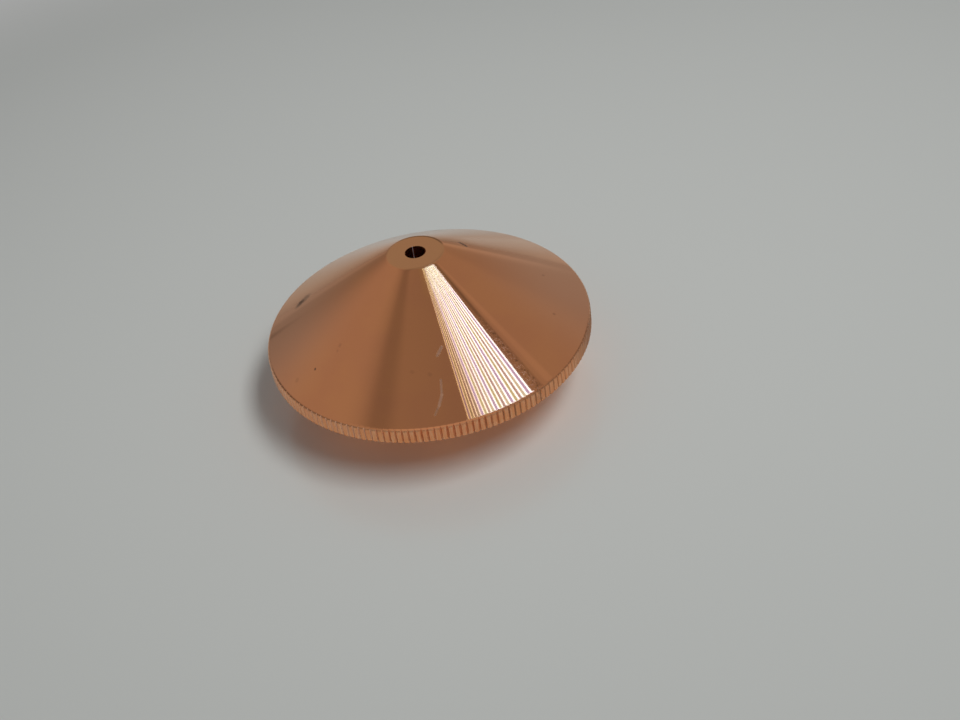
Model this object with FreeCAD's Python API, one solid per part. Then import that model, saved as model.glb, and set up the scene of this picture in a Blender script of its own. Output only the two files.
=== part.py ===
"""A laser cutting nozzle, turned from one piece of copper. All sizes are in millimetres.

The nozzle stands on the end of its threaded shank, with the shank's end face at z = 0
and the flow axis along +Z. A wide cone rises from the knurled rim to a small flat nose.
"""
import FreeCAD, Part
import math
import os

# Sizes along the axis, from the shank's end up to the nose.
shank_length = 5.1         # shank's end face to the flange's underside
rim_height = 1.5           # flange's underside to the foot of the cone
cone_height = 8.4          # foot of the cone to the nose face

# Outside diameters.
rim_diameter = 32.0
nose_diameter = 5.4
thread_diameter = 14.0     # major diameter of the M14 x 1 thread, left as a plain cylinder
relief_diameter = 12.6     # thread relief between the shank and the flange
relief_width = 0.9

# The flow channel, from the shank's end to the orifice.
mouth_diameter = 10.5
mouth_depth = 1.0          # straight stretch above the mouth's chamfer
orifice_diameter = 2.0
orifice_length = 2.0

# Broken edges.
shank_chamfer = 0.6
mouth_chamfer = 0.3
cone_foot_chamfer = 0.1
nose_edge_radius = 0.25

# Straight knurl on the rim.
knurl_pitch = 0.6
knurl_groove_width = 0.26
knurl_depth = 0.16

axis_origin = FreeCAD.Vector(0, 0, 0)
axis_direction = FreeCAD.Vector(0, 0, 1)
match_tolerance = 1e-6

underside_z = shank_length
cone_foot_z = underside_z + rim_height
nose_z = cone_foot_z + cone_height


def revolved(outline):
    """A full turn of a closed outline, given as (radius, height) points."""
    points = [FreeCAD.Vector(radius, 0, height) for radius, height in outline]
    face = Part.Face(Part.makePolygon(points + points[:1]))
    return face.revolve(axis_origin, axis_direction, 360)


def ring_edge(solid, diameter, height):
    """The full-circle edge of that diameter at that height."""
    for edge in solid.Edges:
        if not (isinstance(edge.Curve, Part.Circle) and edge.isClosed()):
            continue
        same_size = abs(2 * edge.Curve.Radius - diameter) < match_tolerance
        same_height = abs(edge.Curve.Center.z - height) < match_tolerance
        if same_size and same_height:
            return edge
    raise ValueError(f"no ring of diameter {diameter} at height {height}")


def cone_surface_z(radius):
    """The height of the cone's surface at a radius between the rim and the nose."""
    slope = cone_height / (rim_diameter / 2 - nose_diameter / 2)
    return cone_foot_z + slope * (rim_diameter / 2 - radius)


def turned_blank():
    """The outside as it leaves the lathe: shank, thread relief, flange, cone and nose."""
    rim_radius = rim_diameter / 2
    relief_z = underside_z - relief_width
    cone_start_radius = rim_radius - cone_foot_chamfer
    blank = revolved([
        (0, 0),
        (thread_diameter / 2 - shank_chamfer, 0),
        (thread_diameter / 2, shank_chamfer),
        (thread_diameter / 2, relief_z),
        (relief_diameter / 2, relief_z),
        (relief_diameter / 2, underside_z),
        (rim_radius, underside_z),
        (rim_radius, cone_foot_z - cone_foot_chamfer),
        (cone_start_radius, cone_surface_z(cone_start_radius)),
        (nose_diameter / 2, nose_z),
        (0, nose_z),
    ])
    return blank.makeFillet(nose_edge_radius, [ring_edge(blank, nose_diameter, nose_z)])


def flow_channel():
    """The hollow inside: a chamfered mouth that tapers to the orifice in the nose."""
    return revolved([
        (0, 0),
        (mouth_diameter / 2 + mouth_chamfer, 0),
        (mouth_diameter / 2, mouth_chamfer),
        (mouth_diameter / 2, mouth_chamfer + mouth_depth),
        (orifice_diameter / 2, nose_z - orifice_length),
        (orifice_diameter / 2, nose_z),
        (0, nose_z),
    ])


def knurl_grooves():
    """Equal V-grooves all round the rim, which run out through the cone's foot."""
    apex_radius = rim_diameter / 2 - knurl_depth
    outside_radius = rim_diameter / 2 + knurl_depth
    section = Part.Face(Part.makePolygon([
        FreeCAD.Vector(apex_radius, 0, 0),
        FreeCAD.Vector(outside_radius, -knurl_groove_width, 0),
        FreeCAD.Vector(outside_radius, knurl_groove_width, 0),
        FreeCAD.Vector(apex_radius, 0, 0),
    ]))
    groove = section.extrude(axis_direction * nose_z)

    count = round(math.pi * rim_diameter / knurl_pitch)
    grooves = []
    for index in range(count):
        turned = groove.copy()
        turned.rotate(axis_origin, axis_direction, 360 * index / count)
        grooves.append(turned)
    return grooves


def nozzle_body():
    """The whole nozzle: the turned blank, bored, then knurled."""
    bored = turned_blank().cut(flow_channel())
    knurled = bored.cut(knurl_grooves())
    return knurled.Solids[0]


os.makedirs("parts", exist_ok=True)
body = nozzle_body()
body.exportStep("parts/nozzle_body.step")
print("nozzle_body", "valid" if body.isValid() else "NOT VALID",
      "volume", round(body.Volume, 2), "faces", len(body.Faces))
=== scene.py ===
import bpy
import math
import random
from mathutils import Matrix, Vector


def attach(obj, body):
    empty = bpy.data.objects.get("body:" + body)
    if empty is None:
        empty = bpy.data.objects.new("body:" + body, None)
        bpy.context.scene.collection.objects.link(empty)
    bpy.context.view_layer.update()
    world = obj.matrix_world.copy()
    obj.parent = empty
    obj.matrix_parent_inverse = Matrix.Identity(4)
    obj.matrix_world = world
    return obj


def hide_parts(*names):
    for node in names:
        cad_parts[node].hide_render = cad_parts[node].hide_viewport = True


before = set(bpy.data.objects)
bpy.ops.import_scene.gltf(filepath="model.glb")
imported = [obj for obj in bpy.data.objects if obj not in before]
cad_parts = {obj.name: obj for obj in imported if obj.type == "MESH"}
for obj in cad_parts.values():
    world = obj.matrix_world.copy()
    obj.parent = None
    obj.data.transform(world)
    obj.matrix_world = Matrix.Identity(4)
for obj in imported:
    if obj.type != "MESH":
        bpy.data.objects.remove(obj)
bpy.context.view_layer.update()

mm = 0.001
random.seed(14)
print("frame loaded")


# A phone held low over the table, tipped a little.
camera = {
    "place": (0.004461, -0.113301, 0.091908),
    "lens": 54.0, "sensor": 36.0,       # mm
    "clipStart": 0.005,
    "downTilt": 38.81,      # degrees below the horizon
    "roll": -9.015,
}
cameraData = bpy.data.cameras.new("photoCamera")
cameraData.lens = camera["lens"]
cameraData.sensor_width = camera["sensor"]
cameraData.clip_start = camera["clipStart"]
cameraObject = bpy.data.objects.new("photoCamera", cameraData)
cameraObject.matrix_world = (
    Matrix.Translation(camera["place"])
    @ Matrix.Rotation(math.radians(90.0 - camera["downTilt"]), 4, "X")
    @ Matrix.Rotation(math.radians(camera["roll"]), 4, "Z")
)
bpy.context.scene.collection.objects.link(cameraObject)
bpy.context.scene.camera = cameraObject
print("camera placed")


# The turned nozzle, in millimetres until its mesh is made.
nozzle = {
    "rimRadius": 16.0, "undersideZ": 5.1, "coneFootZ": 6.6,
    "noseZ": 15.0, "noseRadius": 2.7, "noseEdge": 0.46,
    "underEdge": 0.16,                  # break along the flange's lower edge
    "footEdge": 0.26,                   # break where the rim meets the cone
    "reliefRadius": 6.3, "reliefZ": 4.2,
    "orificeRadius": 1.0, "orificeEdge": 0.04, "throatZ": 13.0,
    "mouthRadius": 5.25, "mouthZ": 1.3, "mouthChamfer": 0.3,
    "coneColumns": 672, "shankColumns": 336, "boreColumns": 224,
    "flangeRing": 15.1, "rimRings": (15.6, 15.5), "coneRings": (15.3, 15.0, 12.0, 9.0, 6.0, 3.6),
    "crease": 0.03, "support": 0.04, "noseSupport": 0.05, "flat": 0.1,    # near rings keep the edges crisp
    "sharpAngle": 33.0,
}
knurl = {
    "teeth": 168, "halfWidth": 0.13, "depth": 0.16,
    "columns": (0.0, 0.02, 0.085, 0.120, 0.140, 0.165, 0.225),   # from a groove's middle
    "bottomSoftness": 0.012, "lipSoftness": 0.006,
    "wander": 0.012, "depthChange": 0.14,                        # tool marks are never quite equal
}
thread = {
    "pitch": 1.0, "crestRadius": 7.0, "rootRadius": 6.387,
    "rows": (0.0, 0.083, 0.17, 0.26, 0.35, 0.4375, 0.5, 0.5625, 0.65, 0.74, 0.83, 0.917),
    "crestHalf": 0.0625, "rootHalf": 0.083,
    "startRadius": 6.4,     # the lead-in chamfer at the shank's end
    "runOut": 0.3, "rootStep": 0.05, "clip": 0.01,
}
coneSlope = (nozzle["noseZ"] - nozzle["coneFootZ"]) / (nozzle["rimRadius"] - nozzle["noseRadius"])
coneTilt = math.atan(coneSlope)
points, faces = [], []


def coneZ(radius):
    return nozzle["coneFootZ"] + coneSlope * (nozzle["rimRadius"] - radius)


def evenAngles(count):
    return [2 * math.pi * i / count for i in range(count)]


def addPoint(radius, z, angle):
    points.append((radius * math.cos(angle), radius * math.sin(angle), z))
    return len(points) - 1


def addRing(radius, z, angles):     # a ring is its points' numbers and their angles
    return [addPoint(radius, z, a) for a in angles], angles


def addFace(*corners):
    kept = [c for i, c in enumerate(corners) if c != corners[i - 1]]
    if len(kept) > 2:
        faces.append(kept)


def joinRings(first, second):       # walks round both rings, whatever their counts
    (a, angleA), (b, angleB) = first, second
    if len(a) == len(b):
        for i in range(len(a)):
            k = (i + 1) % len(a)
            addFace(a[i], a[k], b[k], b[i])
        return

    def middle(angles, i):
        turn, k = divmod(i + 1, len(angles))
        return (angles[i] + angles[k] + 2 * math.pi * turn) / 2

    i = j = 0
    while i < len(a) or j < len(b):
        if j == len(b) or (i < len(a) and middle(angleA, i) <= middle(angleB, j)):
            addFace(a[i], a[(i + 1) % len(a)], b[j % len(b)])
            i += 1
        else:
            addFace(a[i % len(a)], b[(j + 1) % len(b)], b[j])
            j += 1


def roundCorner(start, corner, end, steps=4):
    made = []
    for i in range(steps + 1):
        u = i / steps
        made.append(tuple(
            (1 - u) ** 2 * s + 2 * u * (1 - u) * c + u ** 2 * e
            for s, c, e in zip(start, corner, end)
        ))
    return made


# The thread: rows of points climb one pitch in each turn, and both ends are clipped flat.

def threadRadius(z, turn):
    phase = (z / thread["pitch"] - turn) % 1.0
    fromCrest = abs(phase - 0.5)
    rise = (0.5 - thread["rootHalf"] - fromCrest) / (0.5 - thread["rootHalf"] - thread["crestHalf"])
    depth = thread["crestRadius"] - thread["rootRadius"]
    radius = thread["rootRadius"] + depth * min(1.0, max(0.0, rise))
    runOutRadius = nozzle["reliefRadius"] + (nozzle["reliefZ"] - z) / thread["runOut"] * depth
    lowest = nozzle["reliefRadius"] + thread["rootStep"]
    return max(lowest, min(radius, thread["startRadius"] + z, runOutRadius))


def makeThread():
    angles = evenAngles(nozzle["shankColumns"])
    rowsPerTurn = len(thread["rows"])
    turns = math.ceil(nozzle["reliefZ"] / thread["pitch"]) + 2      # one spare at each end
    columns, low, high = [], [], []
    for angle in angles:
        turn = angle / (2 * math.pi)
        low.append(addPoint(threadRadius(0.0, turn), 0.0, angle))
        high.append(addPoint(threadRadius(nozzle["reliefZ"], turn), nozzle["reliefZ"], angle))
        column = []
        for row in range(rowsPerTurn * turns + 1):
            whole, part = divmod(row, rowsPerTurn)
            z = thread["pitch"] * (whole - 1 + thread["rows"][part] + turn)
            if z <= thread["clip"]:
                column.append(low[-1])
            elif z >= nozzle["reliefZ"] - thread["clip"]:
                column.append(high[-1])
            else:
                column.append(addPoint(threadRadius(z, turn), z, angle))
        columns.append(column)
    for i, column in enumerate(columns):
        last = i == len(columns) - 1
        after = columns[0] if last else columns[i + 1]
        step = rowsPerTurn if last else 0           # the seam is one pitch up
        for row in range(len(column) - 1 - step):
            addFace(column[row], after[row + step], after[row + step + 1], column[row + 1])
    return (low, angles), (high, angles)


# The knurled rim: each column's outline goes from the underside over the rim onto the cone.

def makeKnurlColumns():
    pitchAngle = 2 * math.pi / knurl["teeth"]
    sides = [-x for x in knurl["columns"][:0:-1]] + list(knurl["columns"])
    columns = []
    for tooth in range(knurl["teeth"]):
        middle = pitchAngle * tooth + random.uniform(-1, 1) * knurl["wander"] / nozzle["rimRadius"]
        depth = knurl["depth"] * (1 - random.random() * knurl["depthChange"])
        for x in sides:
            cut = depth * (1 - abs(x) / knurl["halfWidth"])
            if x == 0.0:
                cut -= knurl["bottomSoftness"]
            elif cut < 2 * knurl["lipSoftness"]:
                cut = max(0.0, cut + knurl["lipSoftness"]) * 0.5
            columns.append((middle + x / nozzle["rimRadius"], cut))
        columns.append((pitchAngle * (tooth + 0.5), 0.0))
    return columns


def rimOutline(cut):                # the blank's rounded edge, with a groove cut straight down through it
    radius, under, foot = nozzle["rimRadius"] - cut, nozzle["underEdge"], nozzle["footEdge"]
    inward, upward, support = foot * math.cos(coneTilt), foot * math.sin(coneTilt), nozzle["support"]
    low = roundCorner(
        (radius - under, nozzle["undersideZ"]), (radius, nozzle["undersideZ"]),
        (radius, nozzle["undersideZ"] + under))
    high, start = [], math.sqrt(cut / inward)
    for step in range(5):
        u = start + (1 - start) * step / 4
        high.append((nozzle["rimRadius"] - inward * u ** 2,
                     nozzle["coneFootZ"] - foot * (1 - u) ** 2 + upward * u ** 2))
    last = nozzle["rimRadius"] - inward - support
    return (
        [(radius - under - support, nozzle["undersideZ"])] + low
        + [(radius, low[-1][1] + support), (radius, high[0][1] - support)]
        + high + [(last, coneZ(last))]
    )


def makeNozzle():
    shankEnd, threadEnd = makeThread()
    shankAngles = threadEnd[1]
    coneAngles = evenAngles(nozzle["coneColumns"])
    boreAngles = evenAngles(nozzle["boreColumns"])
    columns = makeKnurlColumns()
    rimAngles = [angle for angle, cut in columns]
    outlines = [rimOutline(cut) for angle, cut in columns]

    rings = [threadEnd]
    crease, support, flat = nozzle["crease"], nozzle["support"], nozzle["flat"]
    relief, low, high = nozzle["reliefRadius"], nozzle["reliefZ"], nozzle["undersideZ"]
    for r, z in ((relief + support, low), (relief, low + support), (relief, high - flat),
                 (relief + crease, high - crease), (relief + flat, high)):
        rings.append(addRing(r, z, shankAngles))
    rings.append(addRing(nozzle["flangeRing"], high, coneAngles))
    for level in zip(*outlines):
        rings.append(([addPoint(r, z, a) for (r, z), a in zip(level, rimAngles)], rimAngles))
    for r in nozzle["rimRings"]:
        rings.append(addRing(r, coneZ(r), rimAngles))
    nose, top, edge = nozzle["noseRadius"], nozzle["noseZ"], nozzle["noseEdge"] / 2      # half on each side
    cornerStart = (nose + edge * math.cos(coneTilt), top - edge * math.sin(coneTilt))
    for r in (*nozzle["coneRings"], cornerStart[0] + flat):
        rings.append(addRing(r, coneZ(r), coneAngles))
    for r, z in roundCorner(cornerStart, (nose, top), (nose - edge, top), 6):
        rings.append(addRing(r, z, coneAngles))
    rings.append(addRing(nose - edge - nozzle["noseSupport"], top, coneAngles))
    hole, lip, throat = nozzle["orificeRadius"], nozzle["orificeEdge"], nozzle["throatZ"]
    rings.append(addRing(hole + lip + crease, top, boreAngles))
    for r, z in roundCorner((hole + lip, top), (hole, top), (hole, top - lip), 3):
        rings.append(addRing(r, z, boreAngles))
    mouth, chamfer = nozzle["mouthRadius"], nozzle["mouthChamfer"]
    for r, z in ((hole, top - lip - crease), (hole, throat + crease), (hole + support / 2, throat - support),
                 (mouth, nozzle["mouthZ"]), (mouth, chamfer), (mouth + chamfer, 0.0)):
        rings.append(addRing(r, z, boreAngles))
    rings.append(shankEnd)
    for first, second in zip(rings, rings[1:]):
        joinRings(first, second)

    mesh = bpy.data.meshes.new("turnedNozzle")
    mesh.from_pydata([(x * mm, y * mm, z * mm) for x, y, z in points], [], faces)
    mesh.validate()
    mesh.shade_smooth()
    mesh.set_sharp_from_angle(angle=math.radians(nozzle["sharpAngle"]))
    made = bpy.data.objects.new("turnedNozzle", mesh)
    bpy.context.scene.collection.objects.link(made)
    return made


nozzleObject = makeNozzle()
print("nozzle turned:", len(points), "points,", sum(len(f) - 2 for f in faces), "triangles")


class Wire:                         # a socket that can be added, multiplied and so on
    def __init__(self, nodes, socket):
        self.nodes, self.socket = nodes, socket

    def math(self, operation, *values):
        return self.nodes.add("ShaderNodeMath", {"operation": operation}, dict(enumerate(values)))

    def __add__(self, other):
        return self.math("ADD", self, other)

    def __radd__(self, other):
        return self.math("ADD", other, self)

    def __sub__(self, other):
        return self.math("SUBTRACT", self, other)

    def __rsub__(self, other):
        return self.math("SUBTRACT", other, self)

    def __mul__(self, other):
        return self.math("MULTIPLY", self, other)

    def __rmul__(self, other):
        return self.math("MULTIPLY", other, self)

    def __truediv__(self, other):
        return self.math("DIVIDE", self, other)

    def __rtruediv__(self, other):
        return self.math("DIVIDE", other, self)

    def __pow__(self, other):
        return self.math("POWER", self, other)

    def __abs__(self):
        return self.math("ABSOLUTE", self)


class Nodes:                        # one node tree, emptied, and the one way to add to it
    def __init__(self, tree):
        self.tree = tree
        tree.nodes.clear()

    def add(self, kind, settings=None, values=None, out=0):
        node = self.tree.nodes.new(kind)
        for name, value in (settings or {}).items():
            setattr(node, name, value)
        for name, value in (values or {}).items():
            if isinstance(value, Wire):
                self.tree.links.new(value.socket, node.inputs[name])
            else:
                node.inputs[name].default_value = value
        return Wire(self, node.outputs[out]) if len(node.outputs) else node

    def vector(self, operation, *values, out=0):
        return self.add("ShaderNodeVectorMath", {"operation": operation}, dict(enumerate(values)), out)

    def scale(self, vector, factor):
        return self.add("ShaderNodeVectorMath", {"operation": "SCALE"}, {0: vector, 3: factor})

    def millimetres(self):                # where a point is on its own object
        return self.scale(self.add("ShaderNodeTexCoord", out="Object"), 1000.0)

    def dot(self, a, b):
        return self.vector("DOT_PRODUCT", a, b, out=1)

    def split(self, vector):
        node = self.add("ShaderNodeSeparateXYZ", {}, {0: vector}).socket.node
        return [Wire(self, socket) for socket in node.outputs]

    def join(self, x, y, z):
        return self.add("ShaderNodeCombineXYZ", {}, {0: x, 1: y, 2: z})

    def mix(self, mask, a, b):
        a, b = (v if isinstance(v, Wire) else (*v, 1.0) for v in (a, b))
        return self.add("ShaderNodeMix", {"data_type": "RGBA"}, {0: mask, 6: a, 7: b}, 2)

    def ease(self, value, low, high):     # 0 below low, 1 above high
        return self.add("ShaderNodeMapRange", {"interpolation_type": "SMOOTHSTEP"},
                        {0: value, 1: low, 2: high, 3: 0.0, 4: 1.0})

    def fall(self, value, low, high):     # 1 below low, 0 above high
        return 1 - self.ease(value, low, high)

    def rays(self, *names):               # which kind of ray is asking
        path = self.add("ShaderNodeLightPath").socket.node
        return [Wire(self, path.outputs[name]) for name in names]

    def noise(self, vector, scale, detail=2.0, rough=0.5):
        return self.add("ShaderNodeTexNoise", {"noise_dimensions": "3D"},
                        {"Vector": vector, "Scale": scale, "Detail": detail, "Roughness": rough})


def newMaterial(name):
    material = bpy.data.materials.new(name)
    material.use_nodes = True
    return material, Nodes(material.node_tree)


# Spans hold the two values between which a mask grows or fades.
copper = {
    "clean": (0.90, 0.365, 0.155), "rosy": (0.86, 0.340, 0.155), "edgeTint": (1.0, 0.94, 0.84, 1.0),
    "cloudSpan": (0.35, 0.65), "cloudShare": 0.7, "ringShare": 0.5,      # where the rosy tint shows
    "dirtAndShade": (0.28, 0.13, 0.08), "bright": (0.95, 0.55, 0.33),
    "roughness": 0.060, "cloudRoughness": 0.008, "ringRoughness": 0.006,
    "boreRoughness": 0.09, "boreRadius": (1.1, 1.4), "boreTop": (14.94, 15.0),
    "underRoughness": 0.40, "underHeight": (-0.02, 0.04), "underRadius": (5.6, 5.7),
    "stretch": 1.0, "stretchTurn": 0.25,      # the lathe's rings spread light up and down the cone
    "ringDepth": 4.0e-7,                      # metres
}
# Tints that drift over the cone. Rightwards and backwards run from -1 to 1 round the axis.
drift = {
    "paintedBluishReflection": (0.90, 0.44, 0.26),               # a painted reflection: paler and bluer on the back and sides, for the bluish room the copper mirrors there
    "paintedBluishFront": (-0.7, 0.0), "paintedBluishBack": (0.45, 0.8), "paintedBluishRadius": (3.5, 14.0),
    "paintedFanGold": (0.94, 0.42, 0.145), "paintedFanGoldShare": 0.6, "paintedFanGoldRoughness": 0.07,    # a painted highlight: gold tint in the fan, near the nose
    "fanAzimuth": 21.0, "fanSides": (0.93, 0.98), "paintedFanGoldStart": (2.4, 2.7), "paintedFanGoldEnd": (3.0, 6.5),
    "nose": (0.80, 0.372, 0.169), "noseHeight": (14.9, 14.98),
    "behind": (0.38, 0.6), "outer": (4.0, 8.0),
    # painted reflection: a pale pinkish tint on the back right
    "paintedPinkReflection": (0.90, 0.50, 0.33), "paintedPinkRight": (0.62, 0.74), "paintedPinkDulls": 0.25,
    # darker towards the back on the left and on the right
    "backSidesDarkShare": 0.15, "backLeftReach": (0.3, 0.6), "backLeftEnd": (0.74, 0.86),
    "backRightReach": (0.34, 0.44), "backRightDepth": (0.77, 0.85),
}
# Small marks on the cone. Azimuth runs from the front towards the right, in degrees; radius and width in mm.
marks = (
    {"from": (-107.6, 12.65), "to": (-108.8, 12.4), "width": 0.92, "strength": 0.60},
    {"from": (-105.6, 13.0), "to": (-106.8, 12.85), "width": 0.66, "strength": 0.55},
    {"from": (-57.3, 13.0), "to": (-57.1, 13.05), "width": 0.15, "strength": 1.0},
    {"from": (-53.0, 10.3), "to": (-52.9, 10.4), "width": 0.22, "strength": 0.22},
    {"from": (-52.3, 10.8), "to": (-52.1, 10.85), "width": 0.17, "strength": 0.2},
    {"from": (-61.6, 14.6), "to": (-61.4, 14.7), "width": 0.30, "strength": 0.15},
    {"from": (-9.6, 11.25), "to": (-9.0, 11.3), "width": 0.24, "strength": 0.12},
    {"from": (-1.4, 11.6), "to": (-1.0, 11.65), "width": 0.26, "strength": 0.16},
    {"from": (95.2, 11.9), "to": (95.4, 11.95), "width": 0.20, "strength": 0.35},
    {"from": (69.5, 12.9), "to": (69.6, 12.95), "width": 0.20, "strength": 0.35},
    {"from": (120.0, 5.0), "to": (112.5, 5.25), "width": 0.26, "strength": 1.2},
)
scratches = (
    {"from": (7.0, 9.6), "to": (3.8, 10.2), "width": 0.21, "strength": 0.75},
    {"from": (3.1, 12.2), "to": (2.4, 13.4), "width": 0.15, "strength": 0.75},
    {"from": (2.4, 13.4), "to": (0.7, 14.2), "width": 0.19, "strength": 0.90},
    {"from": (0.7, 14.2), "to": (-1.2, 14.9), "width": 0.15, "strength": 0.65},
)
markWear = {"core": 0.25, "least": 0.55, "patchy": 0.9, "roughness": 0.2}
rim = {
    # groove colours with painted light and shade: paler on the left, then the front, darkest on the right
    "grooves": ((0.95, 0.56, 0.38), (0.78, 0.43, 0.26), (0.50, 0.23, 0.11)),
    "leftToFront": (-0.6, -0.15), "frontToRight": (0.0, 0.5),
    "cutDepth": (0.02, 0.11), "cutRadius": (15.7, 15.8), "belowCone": (0.03, 0.09), "aboveUnderside": 0.1,
    "least": 0.35, "wornShare": 0.45, "wornSpan": (0.42, 0.58), "rightShare": 0.2,
    "grooveRoughness": 0.30, "grooveDulls": 0.5,
    "landRadius": (15.9, 15.97), "landBright": 0.6, "landStreaks": (0.4, 0.7), "landRoughness": 0.16,
    "streakScale": (5.0, 5.0, 0.7),           # upright tool marks on the lands
    # painted shade: the lands darken towards the right
    "dirtAndShade": (0.48, 0.27, 0.17), "darkeningShare": 0.45, "paintedShadeRight": (0.75, 0.98), "rightLandRoughness": 0.35,
}
grainLine = {                                 # fine scratches down the cone that catch the lamps
    "azimuth": 36.2, "sides": (0.012, 0.036), "start": (7.0, 11.0), "roughness": 0.20,
    # darker specks along the line
    "speckles": (0.47, 0.58), "darkSpecks": (0.36, 0.46), "darkeningShare": 0.5,
}
paintedBoreStreak = {                                  # a pale line painted down the bore as a reflected streak
    "azimuth": -167.0, "colour": (0.50, 0.42, 0.45), "sides": (0.02, 0.06), "start": (0.8, 0.9),
    "wall": (1.005, 1.02), "height": (12.9, 13.3), "dulls": 0.8,
}


def onCone(azimuth, radius):
    a = math.radians(azimuth)
    return Vector((radius * math.sin(a), -radius * math.cos(a), coneZ(radius)))


class Spot:                         # where a point of the nozzle is, in millimetres and round the axis
    def __init__(self, nodes):
        self.place = nodes.millimetres()
        x, y, self.z = nodes.split(self.place)
        self.radius = (x * x + y * y) ** 0.5
        self.rightwards, self.backwards = x / self.radius, y / self.radius
        self.profile = nodes.join(self.radius, self.z, 0.0)      # the same all round, for the lathe's rings


def markMask(nodes, place, mark):         # soft-edged line between two points on the cone
    start, end = onCone(*mark["from"]), onCone(*mark["to"])
    along = end - start
    offset = nodes.vector("SUBTRACT", place, tuple(start))
    share = nodes.add("ShaderNodeClamp", {}, {
        0: nodes.dot(offset, tuple(along / along.length_squared)), 1: 0.0, 2: 1.0})
    gap = nodes.vector("LENGTH", nodes.vector("SUBTRACT", offset, nodes.scale(tuple(along), share)), out=1)
    return nodes.fall(gap, mark["width"] * markWear["core"], mark["width"]) * mark["strength"]


def across(nodes, spot, azimuth):         # how far beside that azimuth's line, and how far along it
    a = math.radians(azimuth)
    return (nodes.dot(spot.place, (math.cos(a), math.sin(a), 0.0)),
            nodes.dot(spot.place, (math.sin(a), -math.cos(a), 0.0)))


def driftTints(nodes, spot, colour):
    # painted reflection: paler, bluer tint on the sides and back
    paintedBluishMask = (nodes.ease(spot.backwards, *drift["paintedBluishFront"]) * nodes.fall(spot.backwards, *drift["paintedBluishBack"])
            * nodes.ease(spot.radius, *drift["paintedBluishRadius"]))
    colour = nodes.mix(paintedBluishMask, colour, drift["paintedBluishReflection"])

    # painted highlight: a gold tint inside the lamps' fan, near the nose
    fan = math.radians(drift["fanAzimuth"])
    towardsFan = spot.rightwards * math.sin(fan) - spot.backwards * math.cos(fan)
    paintedFanGold = (nodes.fall(spot.radius, *drift["paintedFanGoldEnd"]) * nodes.ease(spot.radius, *drift["paintedFanGoldStart"])
              * nodes.ease(towardsFan, *drift["fanSides"]))
    colour = nodes.mix(paintedFanGold * drift["paintedFanGoldShare"], colour, drift["paintedFanGold"])
    colour = nodes.mix(nodes.ease(spot.z, *drift["noseHeight"]), colour, drift["nose"])

    outer = nodes.ease(spot.radius, *drift["outer"])
    behind = nodes.ease(spot.backwards, *drift["behind"]) * outer
    # painted reflection: pinkish tint on the back right
    paintedPinkReflection = behind * nodes.ease(spot.rightwards, *drift["paintedPinkRight"])
    colour = nodes.mix(paintedPinkReflection, colour, drift["paintedPinkReflection"])
    # darker on the back left and the back right
    onLeft = (behind * nodes.fall(spot.backwards, *drift["backLeftEnd"])
              * nodes.ease(0 - spot.rightwards, *drift["backLeftReach"]))
    onRight = (outer * nodes.ease(spot.backwards, *drift["backRightDepth"])
               * nodes.ease(spot.rightwards, *drift["backRightReach"]))
    colour = nodes.mix((onLeft + onRight) * drift["backSidesDarkShare"], colour, copper["dirtAndShade"])
    return colour, paintedFanGold * drift["paintedFanGoldRoughness"], paintedPinkReflection * drift["paintedPinkDulls"]


def markCone(nodes, spot, colour):
    patch = nodes.noise(spot.place, 1.3, 4.0, 0.6)
    dark = sum(markMask(nodes, spot.place, mark) for mark in marks)
    dark = dark * (markWear["least"] + markWear["patchy"] * patch)
    light = sum(markMask(nodes, spot.place, scratch) for scratch in scratches)
    colour = nodes.mix(dark, colour, copper["dirtAndShade"])
    colour = nodes.mix(light, colour, copper["bright"])
    return colour, dark * markWear["roughness"] + light


def finishRim(nodes, spot, colour):
    inward = nozzle["rimRadius"] - spot.radius
    belowCone = nozzle["coneFootZ"] + coneSlope * inward - spot.z
    groove = (nodes.ease(inward, *rim["cutDepth"]) * nodes.ease(spot.radius, *rim["cutRadius"])
              * nodes.ease(belowCone, *rim["belowCone"])
              * nodes.ease(spot.z, nozzle["undersideZ"], nozzle["undersideZ"] + rim["aboveUnderside"]))
    worn = nodes.ease(nodes.noise(spot.place, 0.4, 2.0), *rim["wornSpan"])
    onRight = nodes.ease(spot.rightwards, *rim["frontToRight"])
    # painted light and shade: the groove tint is paler on the left and darker on the right
    left, front, right = rim["grooves"]
    inGroove = nodes.mix(nodes.ease(spot.rightwards, *rim["leftToFront"]), left, front)
    inGroove = nodes.mix(onRight, inGroove, right)
    shown = rim["least"] + rim["wornShare"] * worn + rim["rightShare"] * onRight
    colour = nodes.mix(groove * shown, colour, inGroove)

    land = nodes.ease(spot.radius, *rim["landRadius"])
    # painted shade on the lands towards the right
    dirtAndShade = land * nodes.ease(spot.rightwards, *rim["paintedShadeRight"])
    streaks = nodes.noise(nodes.vector("MULTIPLY", spot.place, rim["streakScale"]), 1.0, 3.0, 0.6)
    bright = land * nodes.ease(streaks, *rim["landStreaks"]) * rim["landBright"]
    colour = nodes.mix(bright, colour, copper["bright"])
    colour = nodes.mix(dirtAndShade * rim["darkeningShare"], colour, rim["dirtAndShade"])
    roughness = (groove * rim["grooveRoughness"] + land * streaks * rim["landRoughness"]
                 + dirtAndShade * rim["rightLandRoughness"])
    return colour, roughness, groove * rim["grooveDulls"]


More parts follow.
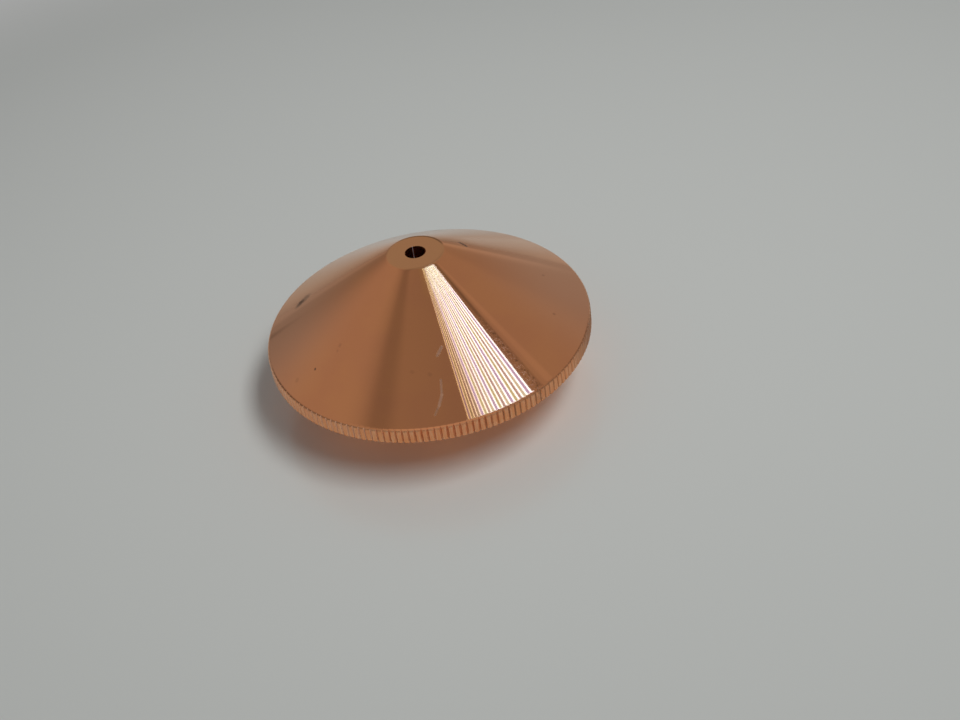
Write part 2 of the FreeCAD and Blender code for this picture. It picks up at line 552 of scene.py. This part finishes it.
def drawGrain(nodes, spot, colour):
    side, along = across(nodes, spot, grainLine["azimuth"])
    line = nodes.fall(abs(side / spot.radius), *grainLine["sides"]) * nodes.ease(along, *grainLine["start"])
    speckle = nodes.noise(spot.place, 3.6, 2.0, 0.6)
    # darker specks along the line
    dirtAndShade = line * nodes.fall(speckle, *grainLine["darkSpecks"]) * grainLine["darkeningShare"]
    colour = nodes.mix(dirtAndShade, colour, copper["dirtAndShade"])
    return colour, line * nodes.ease(speckle, *grainLine["speckles"]) * grainLine["roughness"]


def drawPaintedBoreStreak(nodes, spot, colour):
    # painted reflection: a pale streak down the bore wall
    side, along = across(nodes, spot, paintedBoreStreak["azimuth"])
    line = (nodes.fall(abs(side), *paintedBoreStreak["sides"]) * nodes.ease(along, *paintedBoreStreak["start"])
            * nodes.fall(spot.radius, *paintedBoreStreak["wall"]) * nodes.ease(spot.z, *paintedBoreStreak["height"]))
    return nodes.mix(line, colour, paintedBoreStreak["colour"]), line * paintedBoreStreak["dulls"]


def makeCopper():
    material, nodes = newMaterial("turnedCopper")
    spot = Spot(nodes)
    cloud = nodes.noise(spot.place, 0.22, 3.0)
    rings = nodes.noise(spot.profile, 7.0, 2.0, 0.7)
    broadRings = nodes.noise(spot.profile, 1.4, 2.0)

    rosy = nodes.ease(cloud, *copper["cloudSpan"]) * copper["cloudShare"] + rings * copper["ringShare"]
    colour = nodes.mix(rosy, copper["clean"], copper["rosy"])
    colour, fanRoughness, paintedPinkDulls = driftTints(nodes, spot, colour)
    colour, markRoughness = markCone(nodes, spot, colour)
    colour, rimRoughness, grooveDulls = finishRim(nodes, spot, colour)
    colour, grainRoughness = drawGrain(nodes, spot, colour)
    colour, paintedStreakDulls = drawPaintedBoreStreak(nodes, spot, colour)

    lowEdge, highEdge = (nozzle["undersideZ"] + offset for offset in copper["underHeight"])
    under = nodes.fall(spot.z, lowEdge, highEdge) * nodes.ease(spot.radius, *copper["underRadius"])
    inBore = nodes.fall(spot.radius, *copper["boreRadius"]) * nodes.fall(spot.z, *copper["boreTop"])
    roughness = (copper["roughness"] + (cloud - 0.5) * copper["cloudRoughness"]
                 + (broadRings - 0.5) * copper["ringRoughness"] + fanRoughness + markRoughness
                 + rimRoughness + grainRoughness + inBore * copper["boreRoughness"]
                 + under * copper["underRoughness"])
    bump = nodes.add("ShaderNodeBump", {}, {
        "Strength": 1.0, "Distance": copper["ringDepth"], "Height": broadRings})
    shader = nodes.add("ShaderNodeBsdfPrincipled", {}, {
        "Base Color": colour, "Metallic": 1 - paintedStreakDulls - grooveDulls - paintedPinkDulls,
        "Roughness": roughness, "Normal": bump,
        "Specular Tint": copper["edgeTint"],
        "Anisotropic": copper["stretch"], "Anisotropic Rotation": copper["stretchTurn"]})
    nodes.add("ShaderNodeOutputMaterial", {}, {"Surface": shader})
    return material


nozzleObject.data.materials.append(makeCopper())
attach(nozzleObject, "root")
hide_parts("nozzle_body")
print("copper finished")


# What the cone mirrors to the camera, for the room and the lamps.
mirror = {"inner": 3.0, "middle": 9.0, "outer": 15.5}       # radii on the cone, in millimetres


def mirrored(azimuth, radius, distance):    # where the camera looks to, by way of the cone
    a = math.radians(azimuth)
    place = onCone(azimuth, radius) * mm
    normal = Vector((math.sin(a) * math.sin(coneTilt), -math.cos(a) * math.sin(coneTilt), math.cos(coneTilt)))
    toCamera = (Vector(camera["place"]) - place).normalized()
    return place + (2 * toCamera.dot(normal) * normal - toCamera) * distance


# A plain grey room. Its patches are lighter or darker parts, given by spans of the direction's parts.
room = {
    "leftLevel": 0.372, "rightLevel": 0.335, "leftToRight": (-0.6, 0.6), "tint": (1.0, 1.0, 0.99),
    "seen": 0.42, "onTable": 0.60,      # the level for the camera, and the share that lights the table
    "patches": {
        "ceiling": {"level": -0.085, "grows": {"right": (-0.62, -0.44), "up": (0.55, 0.75)},
                    "fades": {"right": (0.535, 0.575), "back": (0.12, 0.4)}},
        "leftCorner": {"level": -0.13, "grows": {"left": (0.0, 0.42)}, "fades": {"up": (0.08, 0.58)}},
        "rightCorner": {"level": -0.03, "grows": {"right": (0.3, 0.5)}, "fades": {"up": (0.3, 0.5)}},
        "tableEdge": {"level": -0.09, "grows": {"up": (0.03, 0.055), "left": (0.53, 0.56)},
                      "fades": {"up": (0.07, 0.1)}},
        "doorway": {"level": 0.07, "grows": {"right": (0.0, 0.25)},
                    "fades": {"right": (0.36, 0.46), "up": (0.1, 0.3)}},
    },
    "bands": (                          # long soft strips overhead, seen along one azimuth of the cone
        {"azimuth": -21.0, "level": -0.055, "sides": (0.02, 0.16)},
        {"azimuth": 37.0, "level": -0.09, "sides": (0.008, 0.036)},
        {"azimuth": 41.6, "level": 0.045, "sides": (0.012, 0.045)},
    ),
    "overhead": (0.55, 0.75),
    "sides": {"drop": 0.55, "grows": {"aside": (0.72, 0.86)}, "fades": {"up": (0.1, 0.45)}},
    "backWall": {"drop": 0.6, "towards": (0.1, 0.975, 0.2), "span": (0.962, 0.99)},
    # low in front, seen only by the rounded edge
    "window": {"level": 0.2, "grows": {"front": (0.38, 0.50), "up": (0.45, 0.6)},
               "fades": {"aside": (0.4, 0.6)}},
}


def makeRoom():
    world = bpy.data.worlds.new("room")
    bpy.context.scene.world = world
    world.use_nodes = True
    nodes = Nodes(world.node_tree)
    direction = nodes.add("ShaderNodeTexCoord", out="Generated")
    x, y, z = nodes.split(direction)
    ways = {"right": x, "left": 0 - x, "back": y, "front": 0 - y, "up": z, "aside": abs(x)}

    def patchMask(patch):
        return math.prod([nodes.ease(ways[way], *span) for way, span in patch["grows"].items()]
                         + [nodes.fall(ways[way], *span) for way, span in patch["fades"].items()])

    def bandMask(band):
        azimuth = band["azimuth"]
        near, far = (mirrored(azimuth, mirror[end], 1.0) - onCone(azimuth, mirror[end]) * mm
                     for end in ("inner", "outer"))
        gap = abs(nodes.dot(direction, tuple(near.cross(far).normalized())))
        return nodes.fall(gap, *band["sides"]) * nodes.ease(z, *room["overhead"])

    level = room["leftLevel"] + (room["rightLevel"] - room["leftLevel"]) * nodes.ease(x, *room["leftToRight"])
    level = level + sum(patchMask(patch) * patch["level"] for patch in room["patches"].values())
    level = level + sum(bandMask(band) * band["level"] for band in room["bands"])
    backWall = nodes.dot(direction, tuple(Vector(room["backWall"]["towards"]).normalized()))
    level = (level * (1 - room["sides"]["drop"] * patchMask(room["sides"]))
             * (1 - room["backWall"]["drop"] * nodes.ease(backWall, *room["backWall"]["span"])))
    seen, onTable = nodes.rays("Is Camera Ray", "Is Diffuse Ray")
    window = patchMask(room["window"]) * room["window"]["level"]
    level = level * (1 - (1 - room["onTable"]) * onTable) + window * (1 - onTable)
    background = nodes.add("ShaderNodeBackground", {}, {
        "Color": (*room["tint"], 1.0), "Strength": level + seen * (room["seen"] - level)})
    nodes.add("ShaderNodeOutputWorld", {}, {"Surface": background})


makeRoom()
bpy.context.scene.view_settings.view_transform = "Standard"
print("room lit")


table = {
    "size": 4.0, "colour": (0.743, 0.765, 0.741), "paintedFalloffColour": (0.50, 0.515, 0.50),
    # painted light: the table's colour darkens away from a lighter spot
    "paintedLightCentre": (-9.0, 26.0), "paintedFalloff": 90.0, "paintedFalloffShare": 0.55,      # millimetres
    "roomSpan": (98.0, 150.0),          # beyond the picture's frame it fades into the room
    "mirroredRoom": 0.295,              # the room's level there, as the copper mirrors it
    "roughness": 0.22, "gloss": 0.8,
}


def makeTable():
    half = table["size"] / 2
    mesh = bpy.data.meshes.new("tableTop")
    mesh.from_pydata([(-half, -half, 0), (half, -half, 0), (half, half, 0), (-half, half, 0)],
                     [], [(0, 1, 2, 3)])
    made = bpy.data.objects.new("tableTop", mesh)
    bpy.context.scene.collection.objects.link(made)
    material, nodes = newMaterial("tableLaminate")
    place = nodes.millimetres()
    # painted light: darker away from a lighter centre
    offset = nodes.vector("SUBTRACT", place, (*table["paintedLightCentre"], 0.0))
    away = nodes.dot(offset, offset) / table["paintedFalloff"] ** 2
    paintedFalloff = nodes.add("ShaderNodeClamp", {}, {0: away * table["paintedFalloffShare"], 1: 0.0, 2: 1.0})
    laminate = nodes.add("ShaderNodeBsdfPrincipled", {}, {
        "Base Color": nodes.mix(paintedFalloff, table["colour"], table["paintedFalloffColour"]),
        "Roughness": table["roughness"], "Specular IOR Level": table["gloss"]})

    seen, glossy = nodes.rays("Is Camera Ray", "Is Glossy Ray")
    forCopper, forCamera = (
        nodes.add("ShaderNodeEmission", {}, {"Color": (*room["tint"], 1.0), "Strength": level})
        for level in (table["mirroredRoom"], room["seen"]))
    farRoom = nodes.add("ShaderNodeMixShader", {}, {0: seen, 1: forCopper, 2: forCamera})
    distance = nodes.vector("LENGTH", place, out=1)
    faded = nodes.add("ShaderNodeMixShader", {}, {
        0: nodes.ease(distance, *table["roomSpan"]) * (seen + glossy), 1: laminate, 2: farRoom})
    nodes.add("ShaderNodeOutputMaterial", {}, {"Surface": faded})
    mesh.materials.append(material)


makeTable()
print("table laid")


# A ceiling fitting of thin tubes, up on the right, with dim tinted backings between them.
lampRow = {
    "tubes": 18, "firstAzimuth": 9.6, "step": 0.97, "stepGrowth": 0.0245,      # where the cone shows them
    "distance": 0.7, "backingGap": 0.02, "extraLength": 0.13,
    "tubeShare": 0.335, "goldShare": 0.27,      # of the step, on the right and on the left
    "goldLight": (0.75, 1.15, 0.95), "whiteLight": (1.05, 2.3, 4.8),      # as copper needs for gold and white
    "goldTubes": 7, "goldFade": 1.5, "growth": 0.03,
    "backing": ((0.22, 0.42, 1.6), (0.26, 0.62, 0.65), (0.20, 0.36, 0.75), (0.32, 0.72, 1.1)),
    "dimBackings": 4, "backingDim": 0.3,
}
keyLamp = {"towards": (0.42, -0.273, 0.866), "distance": 0.6, "size": (0.171, 0.428), "light": (6.88,) * 3}
# Thrown down by the flange; sizes in millimetres.
copperGlow = {"lamps": 8, "ring": 10.6, "width": 6.8, "gap": 0.1, "light": (0.255, 0.105, 0.045)}
lampPower = 4.0                     # for each square metre of an area lamp and unit of its light

tubeLit = bpy.data.collections.new("tubeLit")      # the tubes light the copper alone
tubeLit.objects.link(nozzleObject)


def addLamp(name, shape, width, length, light):
    data = bpy.data.lights.new(name, "AREA")
    data.shape, data.size, data.size_y = shape, width, length
    roundness = math.pi / 4 if shape == "DISK" else 1.0
    data.energy = lampPower * roundness * width * length * max(light)
    data.color = [v / max(light) for v in light]
    lamp = bpy.data.objects.new(name, data)
    lamp.visible_camera = False
    bpy.context.scene.collection.objects.link(lamp)
    return lamp


def addTube(name, azimuth, width, distance, light):
    near, far = (mirrored(azimuth, mirror[end], distance) for end in ("inner", "outer"))
    left, right = (mirrored(azimuth + side * width / 2, mirror["middle"], distance) for side in (-1, 1))
    centre, sideways = (near + far) / 2, right - left
    away = centre.normalized()
    lengthways = (near - far) - away * away.dot(near - far)
    sideways = sideways - lengthways * (sideways.dot(lengthways) / lengthways.length_squared)
    sideways = sideways - away * away.dot(sideways)
    lamp = addLamp(name, "RECTANGLE", sideways.length, lengthways.length + 2 * lampRow["extraLength"], light)
    axisX, axisY = sideways.normalized(), lengthways.normalized()
    axisZ = axisX.cross(axisY)
    if axisZ.dot(away) < 0:
        axisX, axisZ = -axisX, -axisZ
    lamp.matrix_world = Matrix.Translation(centre) @ Matrix((axisX, axisY, axisZ)).transposed().to_4x4()
    lamp.visible_diffuse = False        # the key lamp lights the table
    lamp.light_linking.receiver_collection = tubeLit


def tubeAzimuth(index):
    return lampRow["firstAzimuth"] + index * (lampRow["step"] + lampRow["stepGrowth"] * index)


def makeLampRow():
    for index in range(lampRow["tubes"]):
        azimuth, following = tubeAzimuth(index), tubeAzimuth(index + 1)
        step = following - azimuth
        white = min(1.0, index / lampRow["goldTubes"]) ** lampRow["goldFade"]
        growth = 1 + lampRow["growth"] * max(0, index - lampRow["goldTubes"])
        light = [(g + (w - g) * white) * growth for g, w in zip(lampRow["goldLight"], lampRow["whiteLight"])]
        share = lampRow["goldShare"] + (lampRow["tubeShare"] - lampRow["goldShare"]) * white
        addTube(f"tube{index:02d}", azimuth, step * share, lampRow["distance"], light)
        if index < lampRow["tubes"] - 1:
            dim = lampRow["backingDim"] if index < lampRow["dimBackings"] else 1.0
            light = [v * dim for v in lampRow["backing"][index % len(lampRow["backing"])]]
            distance = lampRow["distance"] + lampRow["backingGap"]
            addTube(f"backing{index:02d}", (azimuth + following) / 2, step, distance, light)


def makeKeyLamp():
    lamp = addLamp("keyLamp", "RECTANGLE", *keyLamp["size"], keyLamp["light"])
    lamp.location = Vector(keyLamp["towards"]).normalized() * keyLamp["distance"]     # level, facing down
    lamp.visible_glossy = False         # the copper shows the tubes instead


def makeCopperGlow():
    width = copperGlow["width"] * mm
    height = (nozzle["undersideZ"] - copperGlow["gap"]) * mm
    for index, a in enumerate(evenAngles(copperGlow["lamps"])):
        lamp = addLamp(f"copperGlow{index}", "DISK", width, width, copperGlow["light"])
        lamp.location = (copperGlow["ring"] * math.cos(a) * mm, copperGlow["ring"] * math.sin(a) * mm, height)
        lamp.visible_glossy = False


makeLampRow()
makeKeyLamp()
makeCopperGlow()
print("lamps hung")
